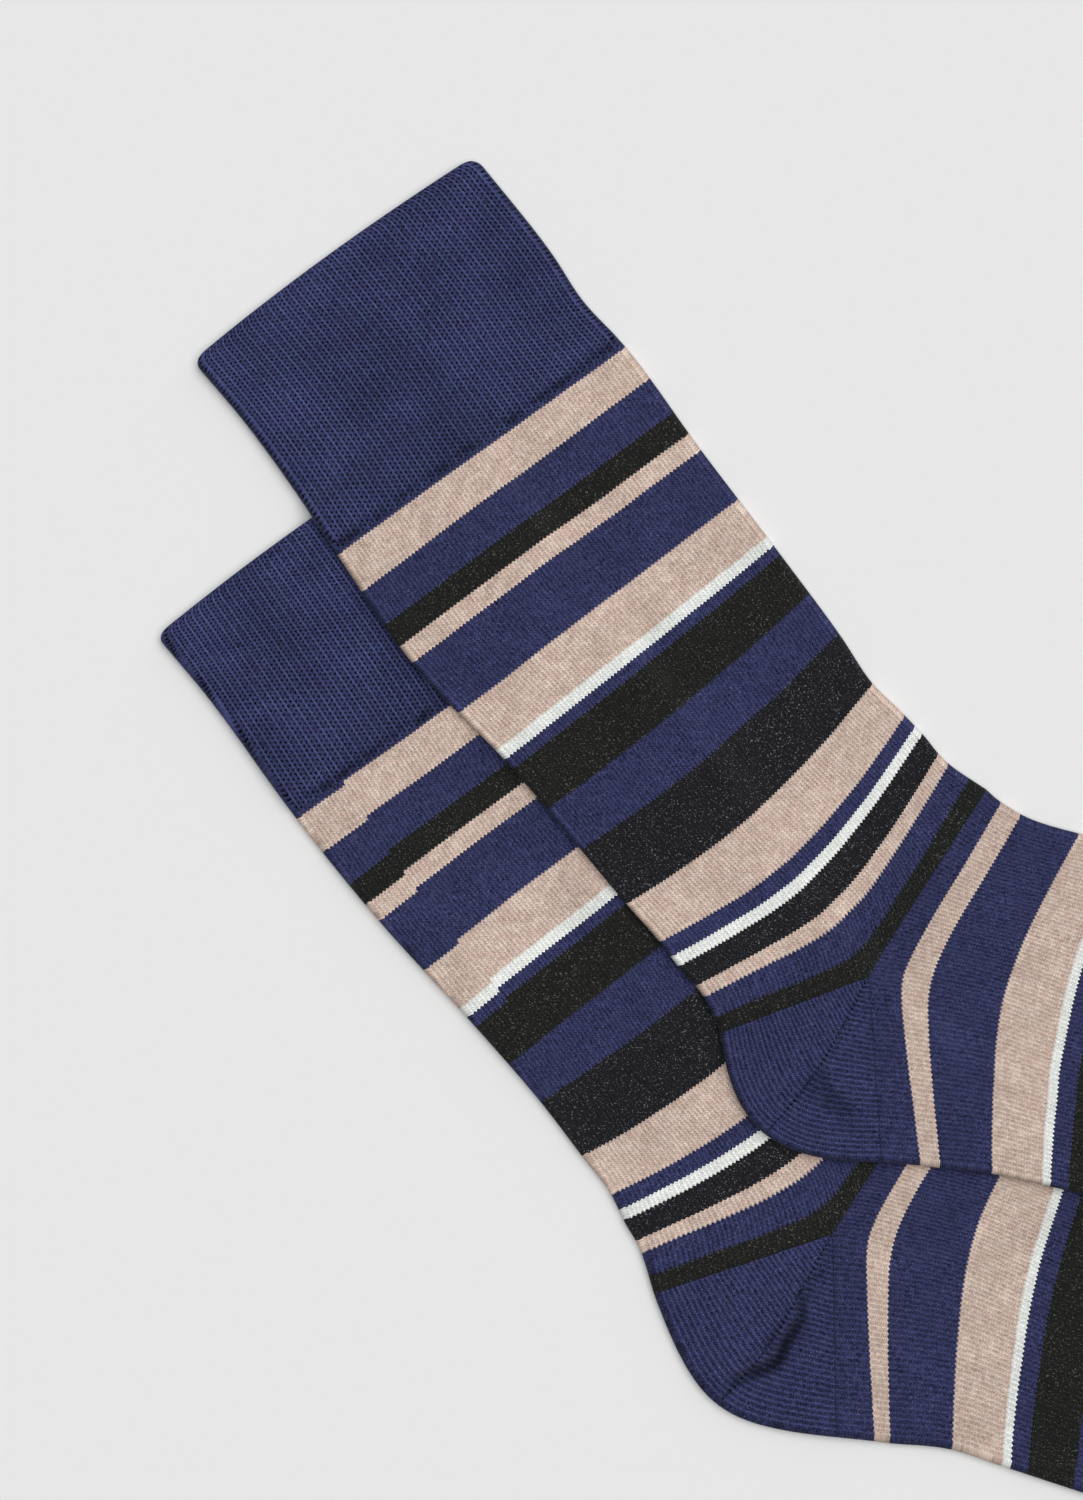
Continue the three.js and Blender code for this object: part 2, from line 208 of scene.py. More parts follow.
# Points of the courses: the straight line from back to front, drawn aside into a soft corner
# that passes through the side point
def onCourses(course, share):
    def root(x):
        return np.hypot(x - cloth["goreShare"], course["soft"])

    def chord(x):
        return mix(root(0), root(1), x)

    bend = cloth["goreShare"]
    pull = (chord(share) - root(share)) / (chord(bend) - root(bend))
    back, side, front = (course[key][:, None] for key in ("back", "side", "front"))
    straight = mix(back, front, np.asarray(share)[..., None])
    return straight + (side - mix(back, front, bend)) * pull[..., None]


# Length of a course from its back point to the side line and on to its front point
def courseWidth(course):
    back = np.linalg.norm(course["side"] - course["back"], axis=1)
    return (back + np.linalg.norm(course["front"] - course["side"], axis=1))[:, None]


# The toe's courses are the foot's last one carried on, and drawn in by the root of
# 1 minus reach to the power of the fullness
toe = {"length": 45, "fullness": 2.4, "rows": 50, "ridge": 0.55, "tone": 0.91}


def toeCourses(sock, down):
    ends = coursesAt(sock["foot"], [footEnd - toe["length"], footEnd])
    middles = mix(ends["back"], ends["front"], 0.5)
    reach = (np.asarray(down, float) / toe["length"])[:, None]
    width = np.sqrt(np.maximum(1 - reach ** toe["fullness"], 0))
    centre = middles[1] + (middles[1] - middles[0]) * reach
    course = {key: centre + (ends[key][1] - middles[1]) * width for key in ("back", "side", "front")}
    course["soft"] = np.full((len(reach), 1), ends["soft"][1, 0])
    return course


heel = {
    "turns": 120,
    "flatSteps": 90,
    "courses": 46,
    "goreLength": 45,  # mm from the gore point to the corner, about
    "cornerPower": 4,  # how late on the way out the fan's corner gets its round shape
    "ridge": 0.85,
    "tone": 0.95,
}


# The heel is a fan from the gore point: turn goes from the leg's last course to the foot's first
# one, and ray is the share of the way out to its rounded edge
def onHeel(sock, ray, turn):
    leg = coursesAt(sock["leg"], [legEnd])
    foot = coursesAt(sock["foot"], [0])
    legBack, footBack, gorePoint = leg["back"][0], foot["back"][0], leg["side"][0]
    rounding = ray ** heel["cornerPower"]
    softness = sock["heelRound"] * rounding

    def root(x):
        return np.hypot(x - 0.5, softness)

    corner = mix(np.array(sock["heelInner"]), np.array(sock["heelOuter"]), rounding[..., None])
    edge = mix(legBack, footBack, turn[..., None])
    edge = edge + (corner - mix(legBack, footBack, 0.5)) * (2 * (root(0) - root(turn)))[..., None]
    return mix(gorePoint, edge, ray[..., None])


rimSteps = {"leg": 42, "foot": 26, "toe": 24, "heel": 20, "legBox": 60}


# A sock's outline from above: down the front edge, round the toe and back up by way of the heel
def rimOf(sock):
    leg = np.linspace(0, legEnd, rimSteps["leg"])
    foot = np.linspace(0, footEnd, rimSteps["foot"])
    tip = np.linspace(0, toe["length"], rimSteps["toe"])
    turn = np.linspace(1, 0, rimSteps["heel"])
    return np.concatenate([
        coursesAt(sock["leg"], leg)["front"],
        coursesAt(sock["foot"], foot)["front"],
        toeCourses(sock, tip)["front"],
        toeCourses(sock, tip[::-1])["back"],
        coursesAt(sock["foot"], foot[::-1])["back"],
        onHeel(sock, np.ones_like(turn), turn),
        coursesAt(sock["leg"], leg[::-1])["back"],
    ])


# How far points lie inside a closed outline, in mm, and below zero outside it
def depthInside(outline, points):
    flat = points.reshape(-1, 2)
    nearest = np.full(len(flat), np.inf)
    inside = np.zeros(len(flat), bool)
    for start, end in zip(outline, np.roll(outline, -1, axis=0)):
        along = end - start
        offset = flat - start
        share = np.clip(offset @ along / max(along @ along, tiny), 0, 1)
        nearest = np.minimum(nearest, np.hypot(*(offset - share[:, None] * along).T))
        crosses = (start[1] > flat[:, 1]) != (end[1] > flat[:, 1])
        level = start[0] + along[0] * (flat[:, 1] - start[1]) / (along[1] or tiny)
        inside ^= crosses & (flat[:, 0] < level)
    return np.where(inside, nearest, -nearest).reshape(points.shape[:-1])


# Each sock is placed by its leg: the middle of the courses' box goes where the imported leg's is
def placeOf(sock):
    low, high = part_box(sock["name"] + "_sock_leg")
    course = coursesAt(sock["leg"], np.linspace(cuffEnd, legEnd, rimSteps["legBox"]))
    edges = np.concatenate([course["back"], course["side"], course["front"]])
    middle = (edges.min(0) + edges.max(0)) / 2
    return (np.array(low)[:2] + np.array(high)[:2]) / 2 / mm - middle


for sock in (upperSock, lowerSock):
    sock["place"] = placeOf(sock)
    sock["rim"] = rimOf(sock) + sock["place"]
    print(sock["name"], "sock placed at", sock["place"].round(2))

# How the upper sock comes up over the lower one, and the slow waves of both, in mm
lay = {
    "gap": 0.15,  # left between the two socks
    "reach": 7.0,  # the upper one comes down to the surface this far outside the lower one
    "margin": 0.4,  # and is at its full height this far outside it
    "climb": 8.0,  # length in which it rises from the lower leg to the thicker lower cuff
    "waves": [  # direction in degrees, wave length, height, start
        (20, 61, 0.16, 0.3),
        (75, 43, 0.13, 1.9),
        (118, 29, 0.1, 4.1),
        (160, 37, 0.12, 2.6),
        (47, 19, 0.05, 0.8),
    ],
    "fade": 5.0,  # the waves die away over this length at the upper sock's edge
    "underShare": 0.5,  # how far the waves rise on the side that the sock lies on
    "slack": 0.34,  # a layer sinks no further than this, where it meets the other one
}
crease = {
    "steps": 5,  # points drawn for each point given
    "ends": 0.06,  # share of a full taper that is missing at each end
    "fullness": 0.7,  # power of the taper: the lower it is, the sooner a crease is at full depth
    "lipWidth": 0.75,  # the lip's half width, as a share of how far off its top is
    "shadowSide": 0.7,  # the painted shadow lies this far off the line's right side, in half widths
    "shadowWidth": 2.1,  # and is this wide, in half widths
    "shadowDepth": 2.0,  # a crease of this depth, in mm, gets the full painted shadow
}


# How far a sock is lifted: the lower one lies on the surface, and the upper one goes up over its
# edge in a soft step
def liftAt(sock, place):
    if sock is lowerSock:
        return np.zeros(place.shape[:-1])
    depth = depthInside(lowerSock["rim"], place)
    course = coursesAt(lowerSock["leg"], [cuffEnd])
    back, front = course["back"][0] + lowerSock["place"], course["front"][0] + lowerSock["place"]
    across = (front - back) / np.linalg.norm(front - back)
    up = (place - back) @ np.array([-across[1], across[0]])
    height = mix(cloth["legThick"], cloth["cuffThick"], ease(up / lay["climb"]))
    return (height + lay["gap"]) * ease((depth + lay["reach"]) / (lay["reach"] - lay["margin"]))


# Distance from a smooth line through some points, in mm, above zero on its left, and the share of
# the way along it
def besideLine(line, points):
    knots = [(i, *point) for i, point in enumerate(line)]
    line = alongRows(knots, np.linspace(0, len(line) - 1, crease["steps"] * len(line)))
    lengths = np.linalg.norm(np.diff(line, axis=0), axis=1)
    passed = np.concatenate([[0], np.cumsum(lengths)]) / lengths.sum()
    nearest = np.full(points.shape[:-1], np.inf)
    signed = np.zeros_like(nearest)
    along = np.zeros_like(nearest)
    for i, length in enumerate(lengths):
        way = (line[i + 1] - line[i]) / length
        offset = points - line[i]
        free = offset @ way / length
        share = np.clip(free, 0, 1)
        distance = np.linalg.norm(offset - (share * length)[..., None] * way, axis=-1)
        closer = distance < nearest
        left = offset @ np.array([-way[1], way[0]])
        nearest = np.where(closer, distance, nearest)
        signed = np.where(closer, np.where(left < 0, -distance, distance), signed)
        along = np.where(closer, mix(passed[i], passed[i + 1], share), along)
    return signed, along


# Height that the waves and creases add, and the painted shadow that the creases put in the colour, from
# 0 to 1: a crease is a trough with a bell-shaped section and a lip on its left, and it runs out softly
def reliefAt(sock, points, layer):
    place = points + sock["place"]
    height = np.zeros(points.shape[:-1])
    hollow = np.zeros(points.shape[:-1])
    for degrees, length, tall, start in lay["waves"]:
        angle = np.radians(degrees)
        phase = (place @ np.array([np.cos(angle), np.sin(angle)])) * 2 * np.pi / length
        height += tall * np.sin(phase + start + sock["waveStart"])
    if layer == "under":
        height = -lay["underShare"] * np.maximum(height, 0)
    for where, line, depth, width, lip, off in sock["creases"]:
        if where != layer:
            continue
        beside, along = besideLine(line, points)
        taper = np.sin(np.pi * mix(crease["ends"], 1 - crease["ends"], along)) ** crease["fullness"]
        trough = depth * bell(beside / width)
        ridge = lip * bell((beside - off) / (crease["lipWidth"] * off))
        height += taper * (ridge - trough)
        shadow = bell((beside / width + crease["shadowSide"]) / crease["shadowWidth"])
        # painted shadow beside a crease, which darkens the colour through the fold map
        hollow += taper * ease(depth / crease["shadowDepth"]) * shadow
    if sock is lowerSock and layer == "over":
        cover = depthInside(upperSock["rim"], place)
        height = np.where(cover > 0, np.minimum(height, 0), height) * ease(-cover / lay["fade"])
    return np.maximum(height, -lay["slack"]), np.minimum(hollow, 1)


# Half a round of the flat tube: q runs across the flat part from 0 to 1, and tuck and rise are the
# two sides of the fold, 1 and 1 where the cloth lies flat
def halfRound(flatSteps, foldAtStart=True):
    fold = np.linspace(0, np.pi / 2, cloth["foldSteps"] + 1)
    flat = np.linspace(0, 1, flatSteps + 1)
    lead = fold[:-1] if foldAtStart else fold[:0]
    q = np.concatenate([np.zeros(len(lead)), flat, np.ones(cloth["foldSteps"])])
    angle = np.concatenate([lead, np.full(len(flat), np.pi / 2), fold[:-1][::-1]])
    return q, 1 - np.cos(angle), np.sin(angle)


# Points of one skin, with two more values, the painted shadow of the creases and rise: plan is where
# they lie over the surface, rise is 1 on the flat and 0 at the folds, half is the section's half height
# there and middle the height of its middle
def raised(sock, plan, rise, half, middle, layer):
    sign = 1 if layer == "over" else -1
    relief, hollow = reliefAt(sock, plan, layer)
    height = middle + sign * (half + relief) * rise + liftAt(sock, plan + sock["place"])
    place = np.concatenate([plan + sock["place"], height[..., None]], axis=-1) * mm
    fold = np.stack([hollow, np.broadcast_to(rise, hollow.shape)], axis=-1)
    return np.concatenate([place, fold], axis=-1)


# The tube's height down the leg: the cuff is thicker, and a groove runs round where it ends
def thickAt(down):
    short = cuffEnd - cuff["fadeEnd"] - down
    thick = mix(cloth["legThick"], cloth["cuffThick"], ease(short / cuff["fade"]))
    return thick - cuff["groove"] * grooveAt(down)


def grooveAt(down):
    return bell((down - cuffEnd + cuff["grooveBack"]) / cuff["grooveWidth"])


# Right round the tube: the upper layer's values, then the lower layer's on the way back
def allRound(over, under):
    return np.concatenate([over, under[:, ::-1][:, 1:]], axis=1)


# Both skins of a stretch of tube. thick is its height at each course, slant the length over which
# the wales have turned, and hem draws the two skins of a layer together, from 1 to 0 at a rim
def tubeSkins(sock, courses, down, thick, slant, hem=1.0):
    q, tuck, rise = halfRound(cloth["flatSteps"])
    width = courseWidth(courses)
    thick = np.broadcast_to(thick, (len(down),))[:, None]
    wall = thick * cloth["wallShare"]
    hem = np.broadcast_to(hem, (len(down),))[:, None]
    skins = []
    for way in (1, -1):  # the outside, then the hollow
        inset = wall / 2 * (1 - way * hem)
        half = np.maximum(thick / 2 - inset, 0)
        edge = np.minimum(inset + half * tuck, width / 2)
        share = mix(edge, width - edge, q) / np.maximum(width, tiny)
        plan = onCourses(courses, share)
        over = raised(sock, plan, rise, half, thick / 2, "over")
        under = raised(sock, plan, rise, half, thick / 2, "under")
        skins.append(allRound(over, under))
    wale = share * cloth["wales"] / 2
    slant = np.broadcast_to(slant * sock["waleSlant"], (len(down),))[:, None]
    wale = allRound(wale, cloth["wales"] - wale) + slant
    knit = np.stack([wale, np.broadcast_to(down[:, None], wale.shape)], axis=-1)
    return skins[0], skins[1], {"knit": knit}


weldGap = 0.002  # mm within which two corners of a mesh are made one


# A closed shell from two skins of points: the cells of each grid, the hollow's turned over, and a
# strip between the two along the first and last rows where they are open
def shell(name, outer, inner, maps, openRows, material):
    rows, columns = outer.shape[:2]
    number = np.arange(rows * columns).reshape(rows, columns)
    # the fold map carries each point's painted crease shadow and its rise
    maps["fold"] = outer[..., 3:]

    def cells(grid):
        corners = [grid[:-1, :-1], grid[:-1, 1:], grid[1:, 1:], grid[1:, :-1]]
        return np.stack(corners, axis=-1).reshape(-1, 4)

    lifted = number + number.size
    strips = [cells(np.stack(pair)) for pair, shut in (
        ((lifted[0], number[0]), openRows[0]),
        ((number[-1], lifted[-1]), openRows[1]),
    ) if shut]
    skins = np.concatenate([cells(number), cells(lifted)[:, ::-1]])
    faces = np.concatenate([skins, *strips])
    points = np.concatenate([outer[..., :3].reshape(-1, 3), inner[..., :3].reshape(-1, 3)])

    mesh = bpy.data.meshes.new(name)
    mesh.from_pydata(points.tolist(), [], faces.tolist())
    smooth = np.arange(len(faces)) < len(skins)
    mesh.polygons.foreach_set("use_smooth", smooth)
    for key, places in maps.items():
        layer = mesh.uv_layers.new(name=key)
        layer.data.foreach_set("uv", places.reshape(-1, 2)[faces.ravel() % number.size].ravel())

    body = bmesh.new()
    body.from_mesh(mesh)
    bmesh.ops.remove_doubles(body, verts=body.verts, dist=weldGap * mm)
    bmesh.ops.recalc_face_normals(body, faces=body.faces)
    body.to_mesh(mesh)
    body.free()
    mesh.materials.append(material)
    piece = bpy.data.objects.new(name, mesh)
    bpy.context.scene.collection.objects.link(piece)
    print(name, len(mesh.polygons), "faces")
    return piece


# Yarns. base and second are the two fibres of a melange. patches says how far soft patches go to
# the second one, flecks how far small specks do, and the last value is how far the stitches' painted
# light and shade go
yarns = {
    "navy": {"base": (0.0305, 0.0345, 0.098), "second": (0.09, 0.1, 0.2),
             "patches": 0.08, "flecks": 0.3, "grain": 1.15},
    "ribNavy": {"base": (0.035, 0.0365, 0.106), "second": (0.034, 0.046, 0.113),
                "patches": 0.7, "flecks": 0.2, "grain": 1.0},
    "beige": {"base": (0.68, 0.552, 0.474), "second": (0.51, 0.34, 0.28),
              "patches": 0.5, "flecks": 0.6, "grain": 0.6},
    "white": {"base": (0.85, 0.87, 0.84), "second": (0.72, 0.74, 0.7),
              "patches": 0.3, "flecks": 0.1, "grain": 0.4},
    "black": {"base": (0.0142, 0.0146, 0.0137), "second": (0.11, 0.11, 0.093),
              "patches": 0.0, "flecks": 0.8, "grain": 0.7},
    "charcoal": {"base": (0.0142, 0.0142, 0.0172), "second": (0.14, 0.142, 0.16),
                 "patches": 0.0, "flecks": 0.85, "grain": 0.7},
}

# Stripes down the leg and along the foot: yarn, and the length in mm at which it ends
legStripes = [
    ("navy", 58.4), ("beige", 68), ("navy", 78.3), ("black", 84.7), ("beige", 90.1), ("navy", 105.5),
    ("beige", 118), ("white", 121.1), ("navy", 124.1), ("black", 137), ("navy", 149.4),
    ("charcoal", 166.1), ("beige", 179.1), ("navy", 183.2), ("white", 186.5), ("charcoal", 193.6),
    ("beige", 197.3), ("navy", 201.9), ("black", 206),
]
footStripes = [
    ("navy", 9.7), ("beige", 16), ("navy", 33), ("beige", 46.5), ("white", 49.3), ("navy", 53),
    ("black", 65), ("navy", 77.7), ("charcoal", 94.4), ("beige", 107.3), ("navy", 111.4),
    ("white", 114.6), ("charcoal", 121.6), ("beige", 125.4), ("navy", 130), ("black", 134),
    ("navy", 160),
]


class Wire:
    # One output of a material's node tree, on which sums and products add Math nodes
    def __init__(self, tree, socket=None):
        self.tree = tree
        self.socket = socket

    def node(self, kind, settings=None, inputs=None, out=0):
        made = self.tree.nodes.new("ShaderNode" + kind)
        for name, value in (settings or {}).items():
            if name == "stops":
                setStops(made.color_ramp, value)
            else:
                setattr(made, name, value)
        for key, value in (inputs or {}).items():
            if isinstance(value, Wire):
                self.tree.links.new(value.socket, made.inputs[key])
            else:
                made.inputs[key].default_value = value
        return Wire(self.tree, made.outputs[out] if made.outputs else None)

    def part(self, out):
        return Wire(self.tree, self.socket.node.outputs[out])

    def math(self, operation, *values):
        return self.node("Math", {"operation": operation}, dict(enumerate(values)))

    def __add__(self, other):
        return self.math("ADD", self, other)

    __radd__ = __add__

    def __sub__(self, other):
        return self.math("SUBTRACT", self, other)

    def __rsub__(self, other):
        return self.math("SUBTRACT", other, self)

    def __mul__(self, other):
        return self.math("MULTIPLY", self, other)

    __rmul__ = __mul__

    def __truediv__(self, other):
        return self.math("DIVIDE", self, other)

    def __rtruediv__(self, other):
        return self.math("DIVIDE", other, self)

    def __gt__(self, other):
        return self.math("GREATER_THAN", self, other)

    def floor(self):
        return self.math("FLOOR", self)

    def fraction(self):
        return self.math("FRACT", self)

    def size(self):
        return self.math("ABSOLUTE", self)

    def fromMiddle(self):  # 0 at the middle of each whole step and 1 where two of them meet
        return (self.fraction() * 2 - 1).size()

    def toMiddle(self):
        return 1 - self.fromMiddle()

    def scaled(self, gain, base):
        return self * gain + base

    def clamped(self):
        return self.node("Clamp", {}, {0: self})

    def eased(self, low, high):
        inputs = {"Value": self, "From Min": low, "From Max": high}
        return self.node("MapRange", {"interpolation_type": "SMOOTHSTEP"}, inputs)

    def pair(self, x, y):
        return self.node("CombineXYZ", {}, {0: x, 1: y})

    def random(self, x, y):
        return self.node("TexWhiteNoise", {"noise_dimensions": "2D"}, {"Vector": self.pair(x, y)})

    def noise(self, place, scale, detail=2.0):
        return self.node("TexNoise", {}, {"Vector": place, "Scale": scale, "Detail": detail})

    def blend(self, a, b, share, kind="MIX"):
        settings = {"data_type": "RGBA", "blend_type": kind}
        return self.node("Mix", settings, {0: share, 6: a, 7: b}, out=2)


# A ramp of even steps. A new one has a stop at each end: the first is used and the last one goes
def setStops(ramp, stops):
    ramp.interpolation = "CONSTANT"
    for position, colour in stops:
        stop = ramp.elements[0] if position == 0 else ramp.elements.new(position)
        stop.color = colour
    ramp.elements.remove(ramp.elements[-1])


rampSteps = 255  # a ramp's table has a place for each of this many courses


# One ramp of the yarns along the tube, a place for each course, giving what read says of a yarn
def yarnRamp(wire, course, stripes, start, read):
    stops = [(0, read(yarns[stripes[0][0]]))]
    for (_, end), (yarn, _) in zip(stripes, stripes[1:]):
        courses = round((end - start) / cloth["course"])
        stops.append(((courses - 0.5) / rampSteps, read(yarns[yarn])))
    return wire.node("ValToRGB", {"stops": stops}, {0: course / rampSteps})


# What the stitches look like. A pair ending in Step is where a soft step begins and ends, and one
# ending in Scale is what a value is multiplied by and what is then added
knitLook = {
    "teeth": 0.7,  # how far a course dips between two wales, in courses
    "wander": 1.2,  # how far the courses wander, in courses, and how quickly
    "wanderRate": 45,
    "jog": 1.3,  # step where a course starts, in courses
    "jogRest": 0.75,  # share of the round at which the courses keep their place
    "jogStep": (126, 142),  # lengths in mm between which the step comes to nothing
    "streakWales": 0.25,  # how quickly the melange changes from wale to wale
    "streakCourses": 0.7,  # and from course to course
    "patchRate": 300,
    "patchStep": (0.36, 0.6),
    "speck": 0.36,  # size of a speck, in mm
    "speckStep": (0.66, 0.8),
    "flatStep": (0.2, 1.0),  # how flat the cloth has to lie to show its stitches
    "flatScale": (0.7, 0.3),
    "mottleRate": 90,
    "mottleScale": (0.4, 0.8),
    "bump": 0.22,  # height of the stitches, in mm
    "paintedShadeDark": 0.85,  # how much darker the painted shade makes the bottom of a deep crease and the cuff's groove
}
finish = {"Roughness": 0.92, "Specular IOR Level": 0.1, "Sheen Weight": 0.06, "Sheen Roughness": 0.5}


# A material with no nodes yet, and the first wire of its tree
def emptyMaterial(name):
    material = bpy.data.materials.new(name)
    material.use_nodes = True
    material.node_tree.nodes.clear()
    return material, Wire(material.node_tree)


# The two values of one of a piece's maps
def uvMap(wire, name):
    return wire.node("SeparateXYZ", {}, {0: wire.node("UVMap", {"uv_map": name})})


# Where a point lies in the knit: beside is 0 on its wale's middle and 1 in the gap, and the course
# is a number that is higher in the gap, wanders a little and steps where each course starts
def stitchAt(wire, sock, start, jog):
    place = wire.node("TexCoord").part("Object")
    knit = uvMap(wire, "knit")
    fold = uvMap(wire, "fold")
    wale, length = knit.part(0), knit.part(1)
    beside = wale.fromMiddle()
    course = (length - start) / cloth["course"] + (beside - 0.5) * knitLook["teeth"]
    course = course + (wire.noise(place, knitLook["wanderRate"]) - 0.5) * knitLook["wander"]
    if jog:
        stepped = ((sock["startWale"] - wale) / cloth["wales"]).fraction() - knitLook["jogRest"]
        course = course + stepped * (1 - length.eased(*knitLook["jogStep"])) * jog
    return {
        "place": place,
        "wale": wale,
        "length": length,
        "beside": beside,
        "course": course,
        "stitch": wire.random((wale * 2).floor(), course.floor()),
        "speck": wire.noise(place, 1 / (knitLook["speck"] * mm), 0.0),
        # the painted crease shadow, read from the fold map
        "hollow": fold,
        "flat": fold.part(1).eased(*knitLook["flatStep"]),
    }


# The stripes' colour, with the second fibre in soft patches and in specks, and how far the yarn's
# painted stitch light and shade go
def yarnAt(wire, at, stripes, start):
    def along(read):
        return yarnRamp(wire, at["course"], stripes, start, read)

    base = along(lambda yarn: (*yarn["base"], 1))
    second = along(lambda yarn: (*yarn["second"], 1))
    shares = along(lambda yarn: (yarn["patches"], yarn["flecks"], yarn["grain"], 1))
    patches = wire.node("SeparateColor", {}, {0: shares})
    flecks, grain = patches.part(1), patches.part(2)
    across, down = at["wale"] * knitLook["streakWales"], at["course"].floor() * knitLook["streakCourses"]
    streak = wire.noise(wire.pair(across, down), 1.0, 1.0)
    patch = wire.noise(at["place"], knitLook["patchRate"])
    soft = ((streak + patch) * 0.5).eased(*knitLook["patchStep"]) * patches
    lit = at["speck"].eased(*knitLook["speckStep"]) * flecks
    return wire.blend(base, second, (soft + lit * (1 - soft)).clamped()), grain


# Plain jersey: the wales are thin lines with a painted highlight, with the stitches' arms between them
# in painted light and shade. The values after crestScale are how much each part adds to the painted
# light, and even is their usual sum
jersey = {
    "crest": 1.6,  # how much narrower than a wale its line is
    "crestTall": 0.6,
    "armTall": 0.4,
    "crestScale": (0.8, 0.6),
    "arm": 0.35,
    "stitch": 0.45,
    "speck": 1.3,
    "even": 0.4,
    "ridgeEven": 0.31,  # and the crest's part of it, for each unit of ridge
}


# Height and painted light of jersey: the wale's line falls away to its sides, and the arms to the
# courses' ends
def jerseyFace(at, grain, ridge):
    crest = (1 - at["beside"] * jersey["crest"]).clamped()
    arm = at["course"].toMiddle()
    height = crest * jersey["crestTall"] + arm * jersey["armTall"]
    light = crest * ridge * arm.scaled(*jersey["crestScale"]) + arm * jersey["arm"]
    light = light + at["stitch"] * jersey["stitch"] + (at["speck"] - 0.5) * jersey["speck"]
    return height, 1 + (light - ridge * jersey["ridgeEven"] - jersey["even"]) * grain


# The cuff's mock rib: two wales make one rib, a thin line with a painted highlight and then two rows of
# pores with painted shade, set half a course off
rib = {
    "course": 1.6,  # length of its courses, in the leg's courses
    "line": 0.17,  # half width of the line, in ribs
    "pore": 0.62,
    "poreStep": (0.5, 1.1),
    "poreScale": (0.9, 0.45),  # how much the pores differ
    "lineTall": 0.15,
    "faceTall": 0.3,
    "poreDeep": 0.3,
    # lineLight and faceLight are painted light on the line and the face, and poreDark the painted shade
    # in the pores
    "lineLight": 0.75,
    "faceLight": 1.1,
    "poreDark": 1.36,
    "stitch": 0.4,
    "speck": 1.7,
    "bandWales": 0.035,  # how quickly the soft bands along the ribs change
    "bandLength": 0.14,
    "bandScale": (0.5, 0.75),
    "mottleRate": 55,
    "mottleScale": (0.7, 0.65),
}


# Height and painted light of the rib: the line and the face stand up, and the pores go down and get
# painted shade
def ribFace(wire, at):
    half = (at["wale"] * 0.5).fraction()
    line = (1 - (0.5 - (half - 0.5).size()) / rib["line"]).clamped()
    course = at["course"] / rib["course"] + (half > 0.5) * 0.5
    pore = (half * 2).toMiddle() * rib["pore"] + course.toMiddle() * rib["pore"]
    pore = pore.eased(*rib["poreStep"]) * at["stitch"].scaled(*rib["poreScale"]) * at["flat"]
    height = line * rib["lineTall"] + rib["faceTall"] - pore * rib["poreDeep"]
    shade = line * rib["lineLight"] + rib["faceLight"] - pore * rib["poreDark"]
    shade = shade + (at["stitch"] - 0.5) * rib["stitch"] + (at["speck"] - 0.5) * rib["speck"]
    # the soft bands are painted light and shade of shallow folds across the cuff
    band = wire.pair(at["wale"] * rib["bandWales"], at["length"] * rib["bandLength"])
    shade = shade * wire.noise(band, 1.0, 1.0).scaled(*rib["bandScale"])
    return height, shade * wire.noise(at["place"], rib["mottleRate"], 1.0).scaled(*rib["mottleScale"])


# Painted shade in the groove where the cuff ends, deeper in some places than in others: 1 over 1 plus
# the fourth power of how far off its middle a point is, in half widths
groove = {"rate": 160, "step": (0.3, 0.65), "dark": 0.75}


def paintedGrooveShade(wire, at):
    off = (at["length"] - cuffEnd + cuff["grooveBack"]) / cuff["grooveWidth"]
    uneven = wire.noise(at["place"], groove["rate"], 1.0).eased(*groove["step"])
    return 1 / (1 + off * off * (off * off)) * uneven * groove["dark"]


# Small dark holes along the gore line, where the two halves of the heel are joined
gore = {
    "pitch": 1.15,  # in mm
    "alongStep": (0.35, 0.8),
    "besideStep": (0.25, 0.8),
    "openRate": 700,
    "openScale": (1.8, 0.1),  # how much the holes differ
    "dark": 0.88,
}


def goreHoles(wire, place):
    seam = uvMap(wire, "gore")
    along = (seam.part(1) / gore["pitch"]).toMiddle().eased(*gore["alongStep"])
    hole = along * (1 - seam.eased(*gore["besideStep"]))
    return hole * wire.noise(place, gore["openRate"]).scaled(*gore["openScale"]).clamped()


# The knit: the yarns' colour times the painted light and shade of the stitches, the painted shade of the
# creases and of the cuff's groove, and a slow mottle, over a bump from the stitches' height. ridge is
# how bright the wales' painted highlights are, and tone how bright the whole cloth is
def knitMaterial(name, sock, stripes, start=0.0, jog=0.0, kind="jersey", ridge=0.6, tone=1.0):
    material, wire = emptyMaterial(name)
    at = stitchAt(wire, sock, start, jog)
    colour, grain = yarnAt(wire, at, stripes, start)
    hollow = at["hollow"]
    if kind == "rib":
        height, shade = ribFace(wire, at)
        # the groove where the cuff ends gets painted shade as well
        hollow = hollow + paintedGrooveShade(wire, at)
    else:
        height, shade = jerseyFace(at, grain, ridge)
    if kind == "heel":
        hole = goreHoles(wire, at["place"])
        height = height - hole
        shade = shade * (1 - hole * gore["dark"])

    gain, base = knitLook["mottleScale"]
    shade = shade * wire.noise(at["place"], knitLook["mottleRate"]).scaled(gain * tone, base * tone)
    # painted shade of the creases and of the cuff's groove darkens the colour
    shade = shade * (1 - hollow.clamped() * knitLook["paintedShadeDark"])
    grey = wire.node("CombineColor", {}, {0: shade, 1: shade, 2: shade})
    bump = wire.node("Bump", {}, {
        "Height": height * at["flat"].scaled(*knitLook["flatScale"]),
        "Distance": knitLook["bump"] * mm,
        "Strength": 1.0,
    })
    surface = wire.node("BsdfPrincipled", {}, {
        "Base Color": wire.blend(colour, grey, 1.0, "MULTIPLY"),
        "Normal": bump,
        **finish,
    })
    wire.node("OutputMaterial", {}, {"Surface": surface})
    return material


